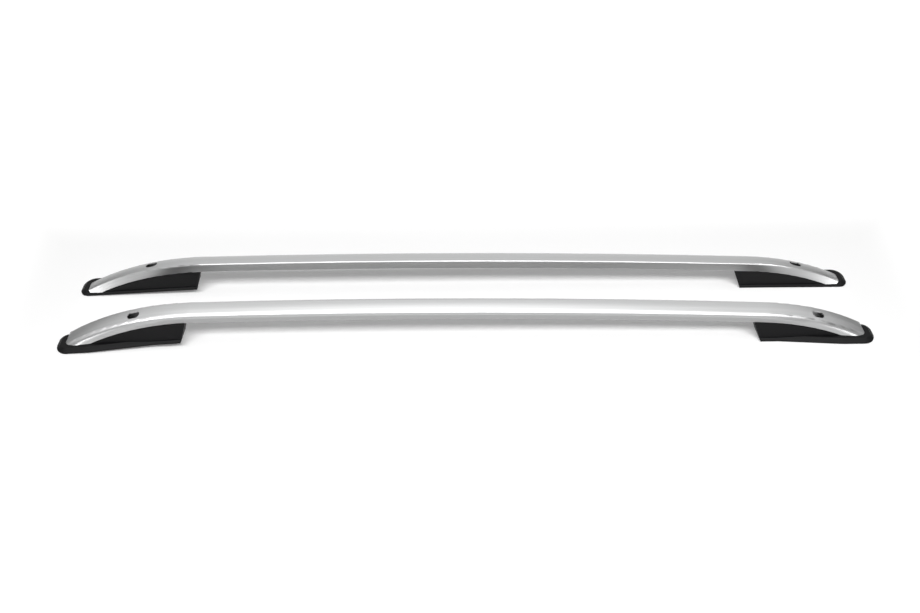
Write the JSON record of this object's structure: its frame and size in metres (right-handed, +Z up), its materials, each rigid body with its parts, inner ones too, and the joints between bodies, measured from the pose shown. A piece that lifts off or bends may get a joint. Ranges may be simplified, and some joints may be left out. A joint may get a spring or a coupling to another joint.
{
  "type": "roof side rail pair",
  "caption": "Mirrored pair of roof side rails: hollow satin aluminium bars, bent down at the ends onto black moulded feet with tool-access holes over the roof bolts.",
  "frame": {"origin": "on the ground under the middle of the pair", "axes": "+X along the rails to the rear of the vehicle, +Y to its right, +Z up from the roof"},
  "size_m": [1.8002, 0.249, 0.097],
  "materials": {
    "rail_metal": "satin anodised",
    "foot_plastic": "fine moulded grain",
    "shoe_plastic": "coarser moulded grain",
    "seal_foam": "closed-cell foam",
    "sleeve_steel": "zinc plated",
    "screw_steel": "zinc plated"
  },
  "bodies": {
    "root": {"left_rail": "rail_metal", "left_front_foot_housing": "foot_plastic", "left_front_base_shoe": "shoe_plastic", "left_front_roof_seal": "seal_foam", "left_front_bolt_sleeve": "sleeve_steel", "left_front_foot_screws": "screw_steel", "left_rear_foot_housing": "foot_plastic", "left_rear_base_shoe": "shoe_plastic", "left_rear_roof_seal": "seal_foam", "left_rear_bolt_sleeve": "sleeve_steel", "left_rear_foot_screws": "screw_steel", "right_rail": "rail_metal", "right_front_foot_housing": "foot_plastic", "right_front_base_shoe": "shoe_plastic", "right_front_roof_seal": "seal_foam", "right_front_bolt_sleeve": "sleeve_steel", "right_front_foot_screws": "screw_steel", "right_rear_foot_housing": "foot_plastic", "right_rear_base_shoe": "shoe_plastic", "right_rear_roof_seal": "seal_foam", "right_rear_bolt_sleeve": "sleeve_steel", "right_rear_foot_screws": "screw_steel"}
  },
  "joints": []
}
